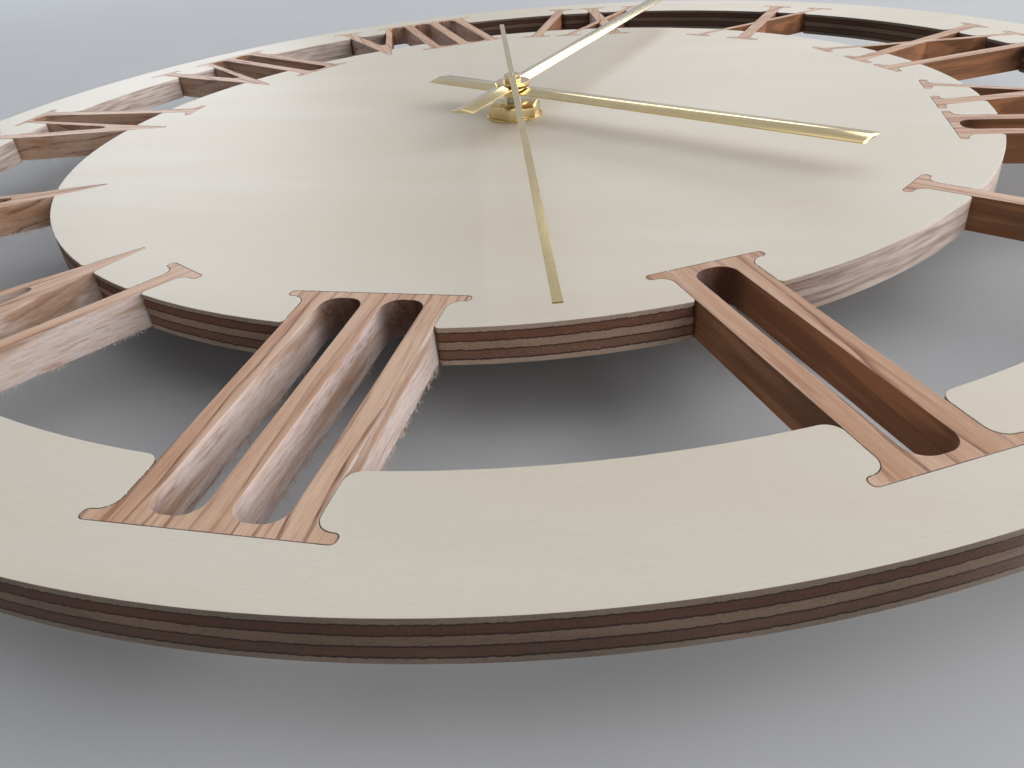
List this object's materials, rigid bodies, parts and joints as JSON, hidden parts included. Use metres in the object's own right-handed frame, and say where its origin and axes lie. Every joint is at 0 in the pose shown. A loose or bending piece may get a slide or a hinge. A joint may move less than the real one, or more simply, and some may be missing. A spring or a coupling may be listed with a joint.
{
  "type": "skeleton wall clock",
  "caption": "Round skeleton wall clock: a plywood disc and outer ring joined by inlaid oak Roman numerals, three baton hands and a battery movement behind the disc.",
  "frame": {"origin": "on the hand axis, at the rear face of the movement's cover", "axes": "+Z out of the dial towards the viewer, +Y towards numeral twelve, +X towards numeral three"},
  "size_m": [0.4599, 0.46, 0.0422],
  "materials": {
    "ply": "sanded plywood with thin pale faces and darker crossbands at the edges",
    "oak": "sanded oak with dark pores, routed walls left fuzzy",
    "black_plastic": "fine moulded grain",
    "grey_plastic": "fine moulded grain",
    "clear_grey_plastic": "smooth moulded",
    "white_plastic": "smooth moulded acetal",
    "knob_plastic": "knurled moulded plastic",
    "magnet": "sintered, dull",
    "bobbin_plastic": "moulded",
    "copper": "enamelled wire, wound",
    "board": "coated laminate",
    "resin": "cast blob of black resin",
    "steel": "stamped and plated",
    "cell_wrap": "plain wrapped can with bare steel ends",
    "rubber": "moulded, slightly dusty",
    "brass": "turned and polished",
    "gilt": "gilded, bright on the near slopes"
  },
  "bodies": {
    "base": {"outer_ring": "ply", "dial_disc": "ply", "numeral_1": "oak", "numeral_2": "oak", "numeral_3": "oak", "numeral_4": "oak", "numeral_5": "oak", "numeral_6": "oak", "numeral_7": "oak", "numeral_8": "oak", "numeral_9": "oak", "numeral_10": "oak", "numeral_11": "oak", "numeral_12": "oak", "front_case": "black_plastic", "rear_cover": "grey_plastic", "middle_plate": "clear_grey_plastic", "threaded_bush": "brass", "hanger_plate": "steel", "rubber_washer": "rubber", "dial_washer": "brass", "hex_nut": "brass", "motion_clip": "steel", "stator": "steel", "coil_core": "steel", "coil_bobbin": "bobbin_plastic", "coil_winding": "copper", "circuit_board": "board", "chip": "resin", "crystal": "steel", "battery_cell": "cell_wrap", "positive_contact": "steel", "negative_contact": "steel"},
    "seconds": {"second_wheel": "white_plastic", "second_arbor": "steel", "second_hand": "gilt"},
    "third": {"third_wheel": "white_plastic"},
    "centre": {"centre_wheel": "white_plastic"},
    "intermediate": {"intermediate_wheel": "white_plastic"},
    "rotor": {"rotor_pinion": "white_plastic", "rotor_magnet": "magnet"},
    "minutes": {"minute_arbor": "brass", "minute_hand": "gilt", "minute_nut": "brass"},
    "motion": {"motion_wheel": "white_plastic"},
    "hours": {"hour_wheel": "white_plastic", "hour_hand": "gilt"},
    "setting": {"setting_shaft": "white_plastic", "setting_knob": "knob_plastic"}
  },
  "joints": [
    {"name": "second_spin", "type": "hinge", "parent": "base", "child": "seconds", "pos_m": [0, 0, 0.041], "axis": [0, 0, 1], "continuous": true},
    {"name": "minute_spin", "type": "hinge", "parent": "base", "child": "minutes", "pos_m": [0, 0, 0.0387], "axis": [0, 0, 1], "continuous": true},
    {"name": "hour_spin", "type": "hinge", "parent": "base", "child": "hours", "pos_m": [0, 0, 0.0368], "axis": [0, 0, 1], "continuous": true},
    {"name": "third_spin", "type": "hinge", "parent": "base", "child": "third", "pos_m": [-0.012, 0, 0.0066], "axis": [0, 0, 1], "continuous": true},
    {"name": "centre_spin", "type": "hinge", "parent": "base", "child": "centre", "pos_m": [0, 0, 0.0089], "axis": [0, 0, 1], "continuous": true},
    {"name": "intermediate_spin", "type": "hinge", "parent": "base", "child": "intermediate", "pos_m": [0.00849, 0.0049, 0.0026], "axis": [0, 0, 1], "continuous": true},
    {"name": "rotor_spin", "type": "hinge", "parent": "base", "child": "rotor", "pos_m": [0.01757, 0.00733, 0.0059], "axis": [0, 0, 1], "continuous": true},
    {"name": "motion_spin", "type": "hinge", "parent": "base", "child": "motion", "pos_m": [0, 0.0096, 0.0108], "axis": [0, 0, 1], "continuous": true},
    {"name": "setting_spin", "type": "hinge", "parent": "base", "child": "setting", "pos_m": [-0.0054, 0.01895, 0.002], "axis": [0, 0, 1], "continuous": true}
  ],
  "couplings": [
    {"joint": "intermediate_spin", "follows": "second_spin", "ratio": -6},
    {"joint": "rotor_spin", "follows": "second_spin", "ratio": 30},
    {"joint": "third_spin", "follows": "second_spin", "ratio": -0.13333},
    {"joint": "centre_spin", "follows": "second_spin", "ratio": 0.016667},
    {"joint": "motion_spin", "follows": "minute_spin", "ratio": -0.33333},
    {"joint": "hour_spin", "follows": "minute_spin", "ratio": 0.083333},
    {"joint": "setting_spin", "follows": "minute_spin", "ratio": 0.66667}
  ]
}
